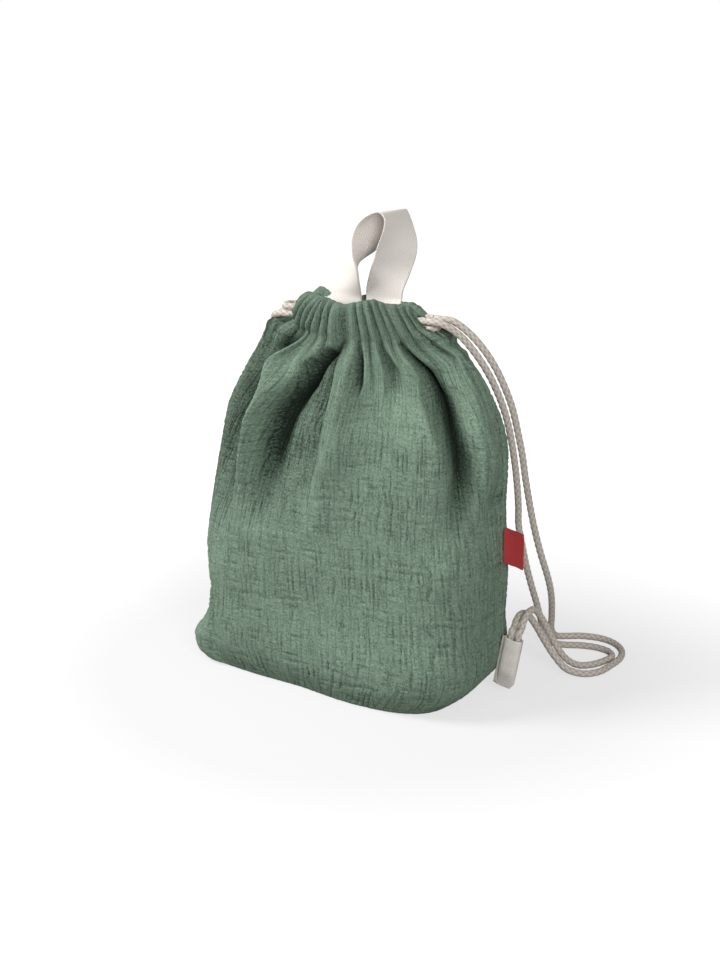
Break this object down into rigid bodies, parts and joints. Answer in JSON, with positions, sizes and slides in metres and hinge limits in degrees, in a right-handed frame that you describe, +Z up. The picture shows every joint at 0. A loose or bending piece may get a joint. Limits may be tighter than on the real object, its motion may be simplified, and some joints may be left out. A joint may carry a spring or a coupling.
{
  "type": "drawstring backpack",
  "caption": "Soft cotton drawstring backpack with a gathered mouth, corded shoulder straps ending in side tabs, a twisted webbing carrying loop and a side label.",
  "frame": {"origin": "on the floor under the plane of the side seams, at the middle of the base", "axes": "+Z up, front towards -Y, +X towards the side seam that holds the label"},
  "size_m": [0.368, 0.2081, 0.3659],
  "materials": {
    "green_cotton": "matt crinkled cotton gauze, sage green",
    "lining_cotton": "matt plain cotton, sage green",
    "cream_webbing": "matt woven cotton webbing, cream",
    "greige_cord": "matt braided cotton, greige",
    "red_label": "woven label, red"
  },
  "bodies": {
    "bag": {"front_panel": "green_cotton", "back_panel": "green_cotton", "base_panel": "green_cotton", "front_lining": "lining_cotton", "back_lining": "lining_cotton", "base_lining": "lining_cotton", "right_cord_front_strand": "greige_cord", "right_cord_back_strand": "greige_cord", "left_cord_front_strand": "greige_cord", "left_cord_back_strand": "greige_cord", "right_cord_turn": "greige_cord", "left_cord_turn": "greige_cord"},
    "mouth_front": {"front_neck": "green_cotton", "front_neck_lining": "lining_cotton", "front_channel": "green_cotton", "right_cord_front_run": "greige_cord", "left_cord_front_run": "greige_cord"},
    "mouth_back": {"back_neck": "green_cotton", "back_neck_lining": "lining_cotton", "back_channel": "green_cotton", "right_cord_back_run": "greige_cord", "left_cord_back_run": "greige_cord", "left_handle_end": "cream_webbing", "right_handle_end": "cream_webbing"},
    "handle": {"handle_loop": "cream_webbing"},
    "label": {"side_label": "red_label"},
    "right_tab": {"right_tab": "cream_webbing", "right_cord_front_end": "greige_cord", "right_cord_back_end": "greige_cord"},
    "left_tab": {"left_tab": "cream_webbing", "left_cord_front_end": "greige_cord", "left_cord_back_end": "greige_cord"}
  },
  "joints": [
    {"name": "mouth_back_open", "type": "hinge", "parent": "bag", "child": "mouth_back", "pos_m": [0, 0.0441, 0.205], "axis": [-1, 0, 0], "range_deg": [0, 20]},
    {"name": "mouth_front_open", "type": "hinge", "parent": "bag", "child": "mouth_front", "pos_m": [0, -0.0511, 0.205], "axis": [1, 0, 0], "range_deg": [0, 20]},
    {"name": "handle_fold", "type": "hinge", "parent": "mouth_back", "child": "handle", "pos_m": [-0.001, 0.0078, 0.3], "axis": [1, 0, 0], "range_deg": [-50, 50]},
    {"name": "label_flap", "type": "hinge", "parent": "bag", "child": "label", "pos_m": [0.12473, 0, 0.123], "axis": [0, 0, 1], "range_deg": [-70, 70]},
    {"name": "right_tab_swing", "type": "hinge", "parent": "bag", "child": "right_tab", "pos_m": [0.11951, 0, 0.01], "axis": [0.1736, 0, 0.9848], "range_deg": [-20, 20]},
    {"name": "left_tab_swing", "type": "hinge", "parent": "bag", "child": "left_tab", "pos_m": [-0.11951, 0, 0.01], "axis": [-0.1736, 0, 0.9848], "range_deg": [-20, 20]}
  ],
  "couplings": [
    {"joint": "mouth_front_open", "follows": "mouth_back_open", "ratio": 1}
  ]
}
